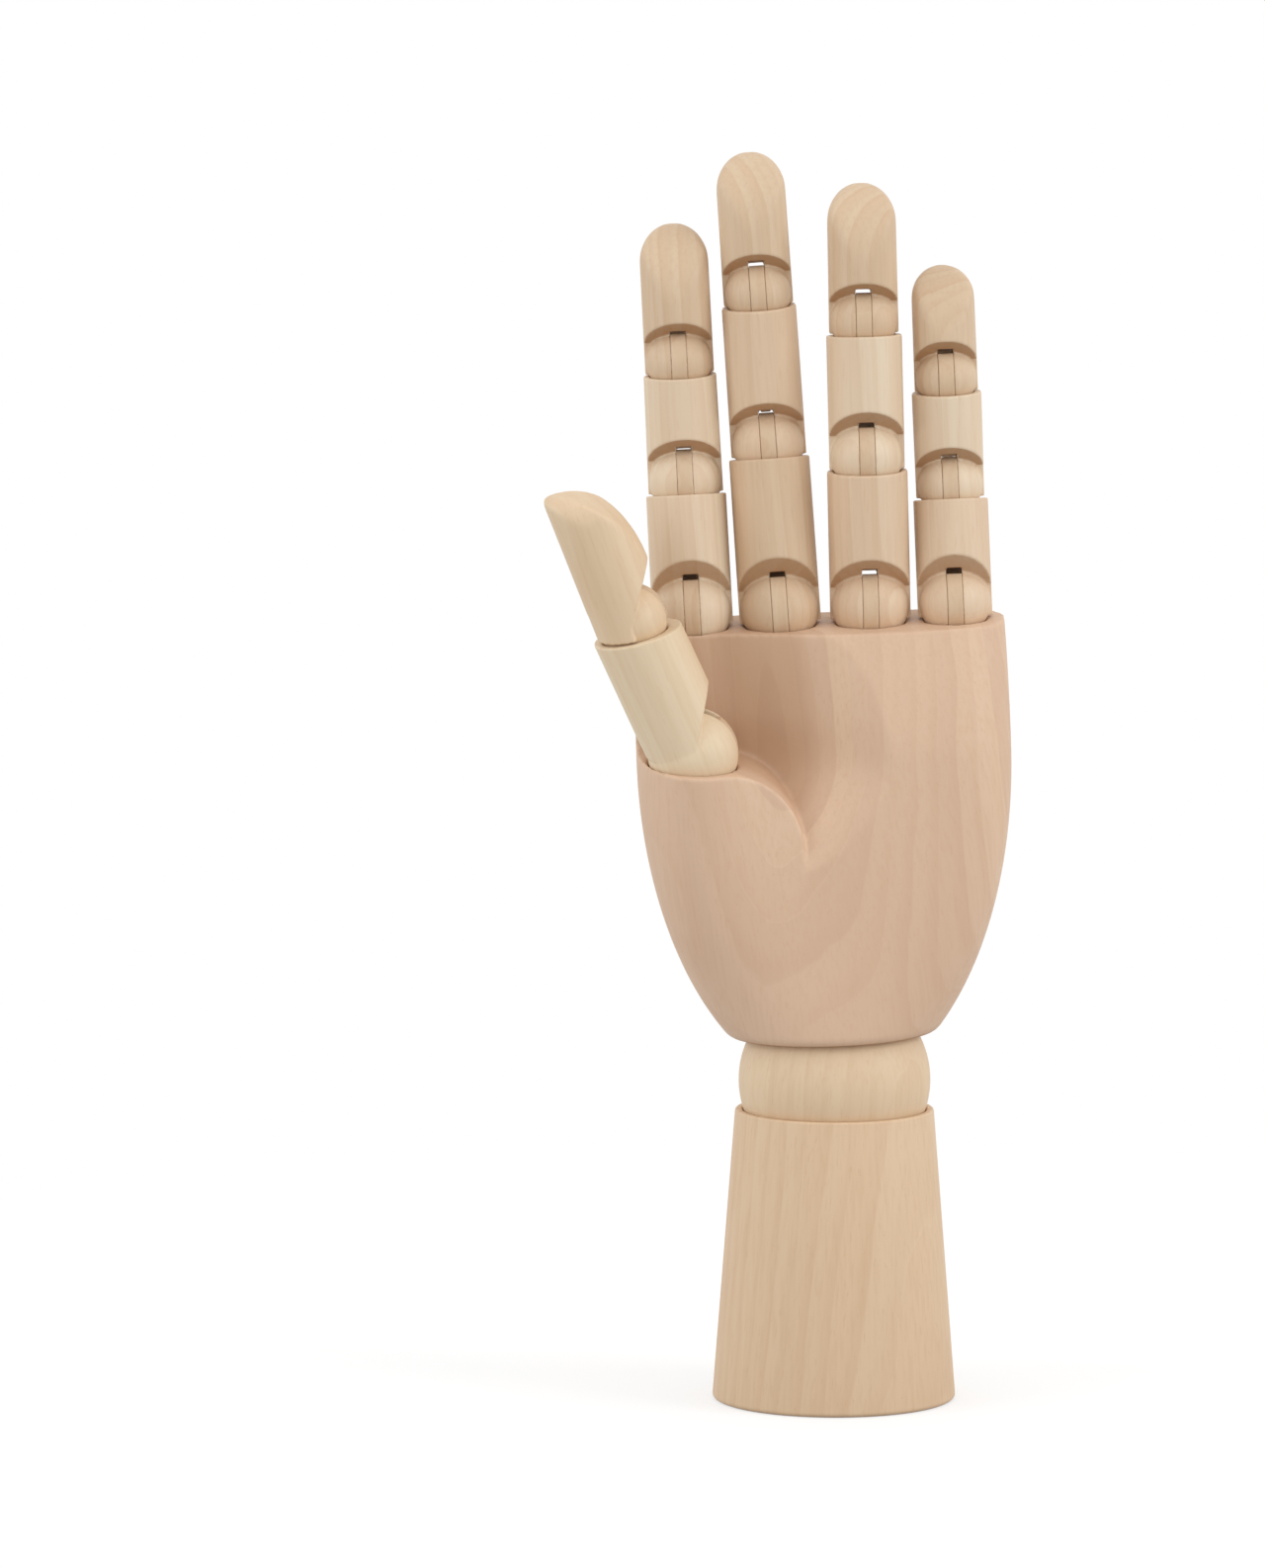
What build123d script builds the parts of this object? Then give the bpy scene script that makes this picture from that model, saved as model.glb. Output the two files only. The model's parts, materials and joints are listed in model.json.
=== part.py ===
"""A jointed wooden hand on a turned forearm: a left hand, seen from its palm side.

Millimetres and degrees. +Z is up, -Y is the palm side and +X is the little finger's side. The origin is the
middle of the forearm's flat base.

Every knuckle is made alike, in a frame of its own: its pin lies on the X axis, the piece above it stands
along +Z and bends towards -Y, its palm side.
"""

import os
from dataclasses import dataclass
from math import cos, exp, pi, radians, sin, sqrt, tan

from build123d import *

# Forearm: a turned cone with a round seat in its top
FOREARM_HEIGHT = 71.0
FOREARM_BASE_R = 29.6
FOREARM_RIM_R = 24.1
FOREARM_EDGE = 1.2
RIM_EDGE = 0.35

# Wrist ball, bored for the spring and flared at both ends of its bore
WRIST_R = 23.25
WRIST_RISE = 7.1
WRIST_BORE_R = 7.0
WRIST_FLARE_R = 12.6
WRIST_FLARE_DEPTH = 7.0
SEAT_CLEARANCE = 0.3

# The spring's two ends: a cross pin under the forearm and a screw eye in the palm
COUNTERBORE_R = 11.0
COUNTERBORE_DEPTH = 8.0
ANCHOR_R = 1.5
ANCHOR_LENGTH = 20.0
EYE_WIRE_R = 1.0
EYE_RING_R = 3.5
EYE_DROP = 8.0
EYE_SCREW_LENGTH = 12.0

# Wrist spring, with a hook at each end
SPRING_WIRE_R = 0.7
SPRING_COIL_R = 4.4
SPRING_TURNS = 20
SPRING_LEG = 7.0
HOOK_CLEARANCE = 0.3

# Palm: a block that swells from the round wrist seat to the row of fingers.
# Heights are above the wrist ball's centre, along the palm's own axis.
PALM_LEAN = 2.0
PALM_FOOT_H = 11.1
PALM_WIDE_H = 80.0
PALM_TOP_H = 111.3
PALM_TOP_SLOPE = 6.0
PALM_FOOT_HALF_WIDTH = 24.8
PALM_WIDE_HALF_WIDTH = 45.3
PALM_TOP_HALF_WIDTH = 44.6
PALM_SIDE_ARC = 0.837
PALM_FOOT_HALF_DEPTH = 24.0
PALM_WIDE_FRONT = 21.5
PALM_WIDE_BACK = 17.0
PALM_TOP_FRONT = 13.4
PALM_TOP_BACK = 13.0
PALM_FOOT_SQUARENESS = 2.0
PALM_WIDE_SQUARENESS = 2.9
PALM_TOP_SQUARENESS = 3.4
THENAR_SIDE = -36.0
THENAR_SWELL = 13.0
THENAR_SPREAD = 15.0

# Knuckles
PIN_R = 0.75
PIN_RECESS = 1.0
PRESSED_CLEARANCE = 0.02
RUNNING_CLEARANCE = 0.06
BALL_STEP = 0.5
PIN_RISE = 3.3
NOTCH_SLOPE = 35.0
NOTCH_SHARE = 0.56
BASE_PIN_RISE = 3.7
BASE_NOTCH_SLOPE = 40.0
BASE_NOTCH_SHARE = 0.47
HEEL_GAP = 0.35
HEEL_BEVEL = 9.0
BASE_HEEL_GAP = 0.6
BASE_HEEL_BEVEL = 14.0
SLOT_DEPTH = 1.3
SLOT_CLEARANCE = 0.12
TONGUE_THICKNESS = 3.5
TONGUE_STEP = 0.1
TONGUE_TOP_SLOPE = 12.0
TENON_DEPTH = 7.0
TENON_LENGTH = 6.0
TIP_LENGTH = 20.0

# Thumb: its ledge on the palm, its larger base ball and the hollow that it swings in
THUMB_SIDE = -31.6
THUMB_FRONT = -16.0
THUMB_HEIGHT = 82.7
THUMB_FORWARD = 9.0
LEDGE_LEAN = 2.0
THUMB_BASE_BALL_R = 11.0
THUMB_NOTCH_SLOPE = 54.0
THUMB_BASE_RISE = 2.6
THUMB_HEEL_BEVEL = 21.0
THUMB_RISE = 3.9
THUMB_RIM_TILT = 10.0
THUMB_TIP_LENGTH = 23.0
HOLLOW_CLEARANCE = 0.9
HOLLOW_EASE = 1.0
HOLLOW_ROOT_DROP = 5.6
HOLLOW_RUNOUT = 28.0
HOLLOW_OVERRUN = 6.9
LEDGE_LENGTH = 27.6
LEDGE_CORNER_R = 20.0

FAR = 160.0


@dataclass
class Bone:
    """One piece of a digit, from the pin at its foot to the next pin, or to its tip."""

    name: str
    length: float
    foot_r: float
    head_r: float
    rest_bend: float


@dataclass
class Finger:
    """A finger's place along the palm's top, its lean to the thumb's side, and its three pieces."""

    name: str
    side: float
    lean: float
    bones: list


INDEX = Finger(
    name="index",
    side=-30.6,
    lean=1.0,
    bones=[
        Bone("proximal", length=31.7, foot_r=9.8, head_r=9.65, rest_bend=-5.0),
        Bone("middle", length=29.1, foot_r=9.1, head_r=8.75, rest_bend=8.0),
        Bone("distal", length=32.8, foot_r=8.4, head_r=8.3, rest_bend=1.0),
    ],
)
MIDDLE = Finger(
    name="middle",
    side=-9.5,
    lean=2.0,
    bones=[
        Bone("proximal", length=39.9, foot_r=9.85, head_r=9.7, rest_bend=-4.0),
        Bone("middle", length=36.9, foot_r=9.1, head_r=8.95, rest_bend=8.0),
        Bone("distal", length=33.5, foot_r=8.45, head_r=8.3, rest_bend=0.0),
    ],
)
RING = Finger(
    name="ring",
    side=12.4,
    lean=-0.5,
    bones=[
        Bone("proximal", length=36.3, foot_r=9.75, head_r=9.7, rest_bend=3.0),
        Bone("middle", length=32.7, foot_r=9.1, head_r=9.1, rest_bend=-4.0),
        Bone("distal", length=32.8, foot_r=8.45, head_r=8.3, rest_bend=6.0),
    ],
)
LITTLE = Finger(
    name="little",
    side=32.8,
    lean=0.4,
    bones=[
        Bone("proximal", length=28.4, foot_r=9.0, head_r=9.0, rest_bend=-6.0),
        Bone("middle", length=26.0, foot_r=8.2, head_r=8.4, rest_bend=9.0),
        Bone("distal", length=27.2, foot_r=7.75, head_r=7.6, rest_bend=-3.0),
    ],
)
FINGERS = [INDEX, MIDDLE, RING, LITTLE]

THUMB_PROXIMAL = Bone("proximal", length=36.5, foot_r=10.7, head_r=10.6, rest_bend=-26.2)
THUMB_DISTAL = Bone("distal", length=35.4, foot_r=9.3, head_r=9.3, rest_bend=3.2)


@dataclass
class Knuckle:
    """The form of one hinge: its ball, the notch above it, its pin's rise over the rim and the heel behind.

    The notch's face slopes up towards the palm side and crosses the piece's axis at a height above the pin.
    """

    ball_r: float
    notch_slope: float
    notch_height: float
    rise: float
    heel_height: float
    heel_bevel: float


def knuckle_at(bone):
    """A knuckle between two pieces of one digit."""
    return Knuckle(
        ball_r=bone.foot_r - BALL_STEP,
        notch_slope=NOTCH_SLOPE,
        notch_height=NOTCH_SHARE * bone.foot_r,
        rise=PIN_RISE,
        heel_height=HEEL_GAP - PIN_RISE,
        heel_bevel=HEEL_BEVEL,
    )


def base_knuckle(bone):
    """A finger's knuckle on the palm, with room to lean back."""
    return Knuckle(
        ball_r=bone.foot_r - BALL_STEP,
        notch_slope=BASE_NOTCH_SLOPE,
        notch_height=BASE_NOTCH_SHARE * bone.foot_r,
        rise=BASE_PIN_RISE,
        heel_height=BASE_HEEL_GAP - BASE_PIN_RISE,
        heel_bevel=BASE_HEEL_BEVEL,
    )


THUMB_BASE = Knuckle(
    ball_r=THUMB_BASE_BALL_R,
    notch_slope=THUMB_NOTCH_SLOPE,
    notch_height=0.0,
    rise=THUMB_BASE_RISE,
    heel_height=0.0,
    heel_bevel=THUMB_HEEL_BEVEL,
)
THUMB_MIDDLE = Knuckle(
    ball_r=THUMB_DISTAL.foot_r - BALL_STEP,
    notch_slope=THUMB_NOTCH_SLOPE,
    notch_height=0.0,
    rise=THUMB_RISE,
    heel_height=HEEL_GAP - THUMB_RISE,
    heel_bevel=THUMB_RIM_TILT,
)


def below(height, tilt=0.0):
    """Everything under a plane that crosses the axis at a height and rises towards +Y by a tilt."""
    return Pos(0, 0, height) * Rot(tilt, 0, 0) * Pos(0, 0, -FAR / 2) * Box(FAR, FAR, FAR)


def above(height, tilt=0.0):
    """Everything over such a plane."""
    return Pos(0, 0, height) * Rot(tilt, 0, 0) * Pos(0, 0, FAR / 2) * Box(FAR, FAR, FAR)


def turned(*outline):
    """A solid of revolution about Z from points of radius and height."""
    return revolve(make_face(Plane.XZ * Polyline(*outline, close=True)), Axis.Z)


def across(radius, length):
    """A round bar along X through the frame's origin."""
    return Rot(0, 90, 0) * Cylinder(radius, length)


def seat_and_mortise(knuckle):
    """What the piece below a knuckle loses to its ball and to its tongue's tenon."""
    seat_r = knuckle.ball_r + SEAT_CLEARANCE
    depth = seat_r + TENON_LENGTH
    mortise = Pos(0, 0, -depth / 2) * Box(TONGUE_THICKNESS, TENON_DEPTH, depth)
    return Sphere(seat_r) + mortise


def notch_foot(knuckle):
    """Where the notch's face meets the ball: how far in front of the pin, and how high above it."""
    slope, height = tan(radians(knuckle.notch_slope)), knuckle.notch_height
    square = 1 + slope**2
    reach = (sqrt(square * knuckle.ball_r**2 - height**2) - slope * height) / square
    return reach, height + slope * reach


def tongue(knuckle):
    """The flat tongue: a round head about the pin, cut off aslant at the notch's foot, on a tenon."""
    head_r = knuckle.ball_r - TONGUE_STEP
    depth = knuckle.ball_r + SEAT_CLEARANCE + TENON_LENGTH
    reach, height = notch_foot(knuckle)
    top = height - reach * tan(radians(TONGUE_TOP_SLOPE))
    strip = across(head_r, TONGUE_THICKNESS)
    strip += Pos(0, 0, -depth / 2) * Box(TONGUE_THICKNESS, TENON_DEPTH, depth)
    strip -= above(top, -TONGUE_TOP_SLOPE)
    return strip - across(PIN_R + RUNNING_CLEARANCE, 2 * TONGUE_THICKNESS)


def pin(knuckle):
    """The cross pin, pressed into both cheeks of the ball and plugged over, so that its ends don't show."""
    return across(PIN_R, 2 * (knuckle.ball_r - PIN_RECESS))


def fingertip(bone, length):
    """The space a tip fills: straight behind, a quarter ellipse on the palm side, round from the front."""
    spring_h = bone.length - length
    side = extrude(
        Plane.YZ * Pos(bone.head_r, spring_h) * Ellipse(2 * bone.head_r, length), FAR / 2, both=True
    )
    front_h = bone.length - bone.head_r
    front = Pos(0, 0, front_h) * Rot(90, 0, 0) * Cylinder(bone.head_r, FAR)
    return (side + below(spring_h)) & (front + below(front_h))


def phalanx(bone, knuckle, upper=None, rim_tilt=0.0, tip_length=TIP_LENGTH):
    """One piece of a digit, with its ball below and either the next knuckle's seat or a tip above."""
    foot_h = -knuckle.ball_r
    if upper:
        rim_h = bone.length - upper.rise
        reach = bone.head_r * tan(radians(rim_tilt))
        top_h = rim_h + reach
        edge_r = bone.head_r - RIM_EDGE
        body = turned(
            (0, foot_h), (bone.foot_r, foot_h), (bone.head_r, top_h - RIM_EDGE), (edge_r, top_h), (0, top_h)
        )
        if rim_tilt:
            body -= above(rim_h, rim_tilt)
    else:
        top_h = bone.length
        body = turned((0, foot_h), (bone.foot_r, foot_h), (bone.head_r, top_h), (0, top_h))
        body &= fingertip(bone, tip_length)
    in_front = Pos(0, -FAR / 2, 0) * Box(FAR, FAR, FAR)
    body -= in_front & below(knuckle.notch_height, -knuckle.notch_slope)
    body -= below(knuckle.heel_height, knuckle.heel_bevel)
    body += Sphere(knuckle.ball_r)
    body -= across(knuckle.ball_r + SLOT_DEPTH, TONGUE_THICKNESS + 2 * SLOT_CLEARANCE)
    body -= across(PIN_R + PRESSED_CLEARANCE, 2 * (knuckle.ball_r - PIN_RECESS))
    if upper:
        body -= Pos(0, 0, bone.length) * seat_and_mortise(upper)
    return body


def digit(name, frame, chain, rim_tilt=0.0, tip_length=TIP_LENGTH):
    """All solids of one digit, and each hinge's frame, from its base knuckle's frame in the palm."""
    solids, hinges = {}, {}
    for place, (bone, knuckle) in enumerate(chain):
        upper = chain[place + 1][1] if place + 1 < len(chain) else None
        part = f"{name}_{bone.name}"
        solids[f"{part}_tongue"] = frame * tongue(knuckle)
        frame = frame * Rot(bone.rest_bend, 0, 0)
        hinges[part] = frame
        solids[f"{part}_pin"] = frame * pin(knuckle)
        solids[part] = frame * phalanx(bone, knuckle, upper, rim_tilt, tip_length)
        frame = frame * Pos(0, 0, bone.length)
    return solids, hinges


WRIST_H = FOREARM_HEIGHT + WRIST_RISE
SEAT_R = WRIST_R + SEAT_CLEARANCE
PALM = Pos(0, 0, WRIST_H) * Rot(0, -PALM_LEAN, 0)
THUMB_PLACE = (
    Pos(THUMB_SIDE, THUMB_FRONT, THUMB_HEIGHT)
    * Rot(THUMB_FORWARD, 0, 0)
    * Rot(0, LEDGE_LEAN + PALM_LEAN, 0)
    * Rot(0, 0, 90)
)


def finger_place(finger):
    """A finger's base knuckle in the palm's frame."""
    return Pos(finger.side, 0, PALM_TOP_H + BASE_PIN_RISE) * Rot(0, -finger.lean, 0)


def forearm():
    """The cone, with its seat, its bore and the counterbore that the spring's pin lies in."""
    edge = FOREARM_EDGE
    cone = turned(
        (0, 0),
        (FOREARM_BASE_R - edge, 0),
        (FOREARM_BASE_R, edge),
        (FOREARM_RIM_R, FOREARM_HEIGHT - RIM_EDGE),
        (FOREARM_RIM_R - RIM_EDGE, FOREARM_HEIGHT),
        (0, FOREARM_HEIGHT),
    )
    cone -= Pos(0, 0, WRIST_H) * Sphere(SEAT_R)
    cone -= Cylinder(WRIST_BORE_R, 2 * FOREARM_HEIGHT)
    return cone - Cylinder(COUNTERBORE_R, 2 * COUNTERBORE_DEPTH)


def wrist_ball():
    """The ball, with a through bore whose ends are flared so that the spring can lean."""
    ball = Sphere(WRIST_R) - Cylinder(WRIST_BORE_R, 2 * FAR)
    mouth_h = sqrt(WRIST_R**2 - WRIST_FLARE_R**2)
    for side in (0, 180):
        flare = turned(
            (0, mouth_h - WRIST_FLARE_DEPTH),
            (WRIST_BORE_R, mouth_h - WRIST_FLARE_DEPTH),
            (WRIST_FLARE_R, mouth_h),
            (WRIST_FLARE_R, WRIST_R),
            (0, WRIST_R),
        )
        ball -= Rot(side, 0, 0) * flare
    return Pos(0, 0, WRIST_H) * ball


def palm_half_width(height):
    """The sides: an arc of an ellipse from the foot up to the widest height, then a slow bend to the top."""
    if height > PALM_WIDE_H:
        share = (height - PALM_WIDE_H) / (PALM_TOP_H - PALM_WIDE_H)
        return PALM_WIDE_HALF_WIDTH + (PALM_TOP_HALF_WIDTH - PALM_WIDE_HALF_WIDTH) * share**2
    share = (PALM_WIDE_H - height) / (PALM_WIDE_H - PALM_FOOT_H)
    fall = (1 - sqrt(1 - (PALM_SIDE_ARC * share) ** 2)) / (1 - sqrt(1 - PALM_SIDE_ARC**2))
    return PALM_WIDE_HALF_WIDTH + (PALM_FOOT_HALF_WIDTH - PALM_WIDE_HALF_WIDTH) * fall


def along_palm(height, foot, wide, top):
    """A value that runs straight from the palm's foot to its widest height, then bends away to its top."""
    if height < PALM_WIDE_H:
        return foot + (wide - foot) * (height - PALM_FOOT_H) / (PALM_WIDE_H - PALM_FOOT_H)
    return wide + (top - wide) * ((height - PALM_WIDE_H) / (PALM_TOP_H - PALM_WIDE_H)) ** 1.5


def palm_front(height):
    return along_palm(height, PALM_FOOT_HALF_DEPTH, PALM_WIDE_FRONT, PALM_TOP_FRONT)


def palm_section(height, points=28):
    """One level of the palm: a rounded oblong that swells in front of the thumb's root."""
    half = palm_half_width(height)
    front = palm_front(height)
    back = along_palm(height, PALM_FOOT_HALF_DEPTH, PALM_WIDE_BACK, PALM_TOP_BACK)
    squareness = along_palm(height, PALM_FOOT_SQUARENESS, PALM_WIDE_SQUARENESS, PALM_TOP_SQUARENESS)
    swell = THENAR_SWELL * ((height - PALM_FOOT_H) / (THUMB_HEIGHT - PALM_FOOT_H)) ** 0.7
    outline = []
    for step in range(points):
        turn = 2 * pi * step / points
        x = half * abs(cos(turn)) ** (2 / squareness) * (1 if cos(turn) > 0 else -1)
        rise = abs(sin(turn)) ** (2 / squareness)
        bump = swell * exp(-(((x - THENAR_SIDE) / THENAR_SPREAD) ** 2)) * rise**0.35
        outline.append((x, back * rise if sin(turn) > 0 else -front * rise - bump))
    return Pos(0, 0, height) * make_face(Spline(*outline, periodic=True))


@dataclass
class HollowLevel:
    """One level of the hollow: its share of the full depth, where its floor ends and the palm's front begins.

    Both places are counted from the thumb's pin, towards the little finger.
    """

    share: float
    floor_end: float
    front_start: float


RUNOUT_LEVELS = [
    HollowLevel(share=0.0, floor_end=1.6, front_start=39.6),
    HollowLevel(share=0.4, floor_end=3.6, front_start=41.6),
]
SWING_LEVELS = [
    HollowLevel(share=1.0, floor_end=7.6, front_start=45.6),
    HollowLevel(share=1.0, floor_end=7.6, front_start=40.6),
    HollowLevel(share=1.0, floor_end=4.6, front_start=33.6),
    HollowLevel(share=1.0, floor_end=-1.4, front_start=22.6),
]


def hollow_section(height, level):
    """One level of the hollow: a floor behind the thumb, then a soft slope out to the palm's front."""
    start, end = THUMB_SIDE + level.floor_end, THUMB_SIDE + level.front_start
    outside = -palm_front(height) - HOLLOW_EASE
    floor = THUMB_FRONT + THUMB_PROXIMAL.foot_r + HOLLOW_CLEARANCE
    floor -= (height - THUMB_HEIGHT) * tan(radians(THUMB_FORWARD))
    floor = outside + level.share * (floor - outside)
    outline = [
        Line((-FAR / 2, floor), (start, floor)),
        Spline((start, floor), (end, outside), tangents=[(1, 0), (1, 0)]),
        Polyline(
            (end, outside), (FAR / 2, outside), (FAR / 2, -FAR / 2), (-FAR / 2, -FAR / 2), (-FAR / 2, floor)
        ),
    ]
    return Pos(0, 0, height) * make_face(outline)


def hollow():
    """The room that the thumb swings in. It runs out below, beside the rounded end of the thumb's ledge."""
    root_h = THUMB_HEIGHT - HOLLOW_ROOT_DROP
    top_h = PALM_TOP_H + HOLLOW_OVERRUN
    sections = []
    for place, level in enumerate(RUNOUT_LEVELS):
        height = root_h - HOLLOW_RUNOUT * (1 - place / len(RUNOUT_LEVELS))
        sections.append(hollow_section(height, level))
    for place, level in enumerate(SWING_LEVELS):
        height = root_h + (top_h - root_h) * place / (len(SWING_LEVELS) - 1)
        sections.append(hollow_section(height, level))
    room = loft(sections)
    ledge = Pos(LEDGE_LENGTH - FAR / 2, -THUMB_BASE_RISE - FAR / 2) * Rectangle(FAR, FAR)
    corner = ledge.vertices().sort_by(Axis.Y)[-2:].sort_by(Axis.X)[-1]
    ledge = extrude(Plane.XZ * fillet(corner, LEDGE_CORNER_R), FAR, both=True)
    root = Pos(THUMB_SIDE, THUMB_FRONT, THUMB_HEIGHT)
    return room - root * Rot(THUMB_FORWARD, LEDGE_LEAN + PALM_LEAN, 0) * ledge


def palm():
    """The palm block in its own frame, which stands on the wrist ball's centre."""
    lift = (PALM_WIDE_H - PALM_FOOT_H) / 3
    levels = [PALM_FOOT_H, PALM_FOOT_H + lift, PALM_WIDE_H - lift, PALM_WIDE_H]
    levels += [(PALM_WIDE_H + PALM_TOP_H) / 2, PALM_TOP_H + BASE_PIN_RISE]
    block = loft([palm_section(height) for height in levels])
    block -= above(PALM_TOP_H, PALM_TOP_SLOPE)
    block -= hollow()
    block -= Sphere(SEAT_R)
    block -= Cylinder(EYE_WIRE_R + PRESSED_CLEARANCE, 2 * (SEAT_R + EYE_SCREW_LENGTH))
    for finger in FINGERS:
        block -= finger_place(finger) * seat_and_mortise(base_knuckle(finger.bones[0]))
    return block - THUMB_PLACE * seat_and_mortise(THUMB_BASE)


def spring_eye():
    """A screw eye that hangs from the palm's seat, with its ring square to the spring's hook."""
    ring_h = SEAT_R - EYE_DROP
    ring = Pos(0, 0, ring_h) * Rot(90, 0, 0) * Torus(EYE_RING_R, EYE_WIRE_R)
    foot_h = ring_h + EYE_RING_R
    shank_length = SEAT_R + EYE_SCREW_LENGTH - foot_h
    return ring + Pos(0, 0, foot_h + shank_length / 2) * Cylinder(EYE_WIRE_R, shank_length)


def biarc(start, start_way, end, end_way):
    """Two arcs, tangent to each other, that leave start along start_way and reach end along end_way."""
    chord = end - start
    both = start_way + end_way
    a = 2 * (1 - start_way.dot(end_way))
    b = 2 * chord.dot(both)
    c = chord.dot(chord)
    reach = c / b if a < 1e-9 else (sqrt(b * b + 4 * a * c) - b) / (2 * a)
    meet = (start + start_way * reach + end - end_way * reach) * 0.5
    meet_way = (meet - start - start_way * reach).normalized()
    return [TangentArc(start, meet, tangent=start_way), TangentArc(meet, end, tangent=meet_way)]


def wrist_spring():
    """One wire: a hook under the anchor pin, the coil, and a hook over the eye's ring."""
    low_h = COUNTERBORE_DEPTH - ANCHOR_R
    high_h = WRIST_H + SEAT_R - EYE_DROP - EYE_RING_R
    low_hook = ANCHOR_R + SPRING_WIRE_R + HOOK_CLEARANCE
    high_hook = EYE_WIRE_R + SPRING_WIRE_R + HOOK_CLEARANCE
    coil_low = low_h + 2 * SPRING_LEG
    coil_high = high_h - SPRING_LEG
    pitch = (coil_high - coil_low) / SPRING_TURNS
    up, tail = Vector(0, 0, 1), 2 * SPRING_WIRE_R

    def coil_point(turn):
        height = coil_low + pitch * turn / (2 * pi)
        return Vector(-SPRING_COIL_R * sin(turn), SPRING_COIL_R * cos(turn), height)

    def coil_way(turn):
        return Vector(
            -SPRING_COIL_R * cos(turn), -SPRING_COIL_R * sin(turn), pitch / (2 * pi)
        ).normalized()

    path = [
        Line((0, -low_hook, low_h + tail), (0, -low_hook, low_h)),
        ThreePointArc((0, -low_hook, low_h), (0, 0, low_h - low_hook), (0, low_hook, low_h)),
        Line((0, low_hook, low_h), (0, low_hook, low_h + SPRING_LEG)),
    ]
    path += biarc(Vector(0, low_hook, low_h + SPRING_LEG), up, coil_point(0), coil_way(0))
    for quarter in range(4 * SPRING_TURNS):
        a, b = pi / 2 * quarter, pi / 2 * (quarter + 1)
        path += biarc(coil_point(a), coil_way(a), coil_point(b), coil_way(b))
    last = 2 * pi * SPRING_TURNS
    leg_h = high_h - tail
    path += biarc(coil_point(last), coil_way(last), Vector(0, high_hook, leg_h), up)
    path += [
        Line((0, high_hook, leg_h), (0, high_hook, high_h)),
        ThreePointArc((0, high_hook, high_h), (0, 0, high_h + high_hook), (0, -high_hook, high_h)),
        Line((0, -high_hook, high_h), (0, -high_hook, high_h - tail)),
    ]
    route = Wire(path)
    wire = sweep(Plane((0, -low_hook, low_h + tail), z_dir=(0, 0, -1)) * Circle(SPRING_WIRE_R), route)
    drawn = pi * SPRING_WIRE_R**2 * route.length
    print(f"wrist_spring: pitch {pitch:.2f}, gap between turns {pitch - 2 * SPRING_WIRE_R:.2f}")
    print(f"wrist_spring: volume {wire.volume:.1f}, section x length {drawn:.1f}")
    return wire


def anchor_pin():
    """The cross pin, which the spring pulls up against the counterbore's shoulder."""
    return Pos(0, 0, COUNTERBORE_DEPTH - ANCHOR_R) * across(ANCHOR_R, ANCHOR_LENGTH)


def build():
    """Every solid by name, and every digit hinge's frame by the piece that it moves."""
    solids = {
        "forearm": forearm(),
        "spring_anchor_pin": anchor_pin(),
        "wrist_ball": wrist_ball(),
        "wrist_spring": wrist_spring(),
        "palm": PALM * palm(),
        "spring_eye": PALM * spring_eye(),
    }
    hinges = {}
    for finger in FINGERS:
        base, *rest = finger.bones
        chain = [(base, base_knuckle(base))] + [(bone, knuckle_at(bone)) for bone in rest]
        parts, frames = digit(finger.name, PALM * finger_place(finger), chain)
        solids.update(parts)
        hinges.update(frames)
    chain = [(THUMB_PROXIMAL, THUMB_BASE), (THUMB_DISTAL, THUMB_MIDDLE)]
    parts, frames = digit("thumb", PALM * THUMB_PLACE, chain, THUMB_RIM_TILT, THUMB_TIP_LENGTH)
    solids.update(parts)
    hinges.update(frames)
    return solids, hinges


def main():
    os.makedirs("parts", exist_ok=True)
    solids, _ = build()
    for name, solid in solids.items():
        export_step(solid, f"parts/{name}.step")


if __name__ == "__main__":
    main()
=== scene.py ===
# %% [markdown]
# # A jointed wooden hand
#
# The object is an artist's hand: a turned forearm, a ball for a wrist, a shaped palm and five digits whose
# pieces bend at pinned knuckles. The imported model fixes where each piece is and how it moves. This lesson
# models every wooden piece once more, with the soft edges that sanding leaves, and gives it grain.
#
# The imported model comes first, so that each piece can be set against it.

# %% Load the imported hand
import json
import math
from collections import namedtuple

import bpy
from mathutils import Matrix, Vector

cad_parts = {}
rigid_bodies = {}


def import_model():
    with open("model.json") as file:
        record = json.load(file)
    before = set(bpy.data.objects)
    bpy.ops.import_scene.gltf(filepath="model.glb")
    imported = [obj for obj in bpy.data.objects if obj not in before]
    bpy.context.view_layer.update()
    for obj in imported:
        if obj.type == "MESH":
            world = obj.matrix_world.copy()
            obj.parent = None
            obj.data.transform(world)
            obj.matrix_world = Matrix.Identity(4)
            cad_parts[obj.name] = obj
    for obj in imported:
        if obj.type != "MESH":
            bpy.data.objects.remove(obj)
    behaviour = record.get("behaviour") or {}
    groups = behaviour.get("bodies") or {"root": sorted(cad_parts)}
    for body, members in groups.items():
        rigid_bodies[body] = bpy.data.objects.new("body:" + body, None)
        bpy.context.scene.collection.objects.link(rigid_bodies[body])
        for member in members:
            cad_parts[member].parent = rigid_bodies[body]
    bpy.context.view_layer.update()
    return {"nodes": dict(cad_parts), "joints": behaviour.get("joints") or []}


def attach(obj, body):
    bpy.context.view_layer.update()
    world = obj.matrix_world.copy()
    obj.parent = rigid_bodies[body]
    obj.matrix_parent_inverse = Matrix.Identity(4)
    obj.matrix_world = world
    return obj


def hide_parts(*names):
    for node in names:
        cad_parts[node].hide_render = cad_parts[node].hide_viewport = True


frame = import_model()
nodes, joints = frame["nodes"], {joint["child"]: joint for joint in frame["joints"]}
MM = 0.001


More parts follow.
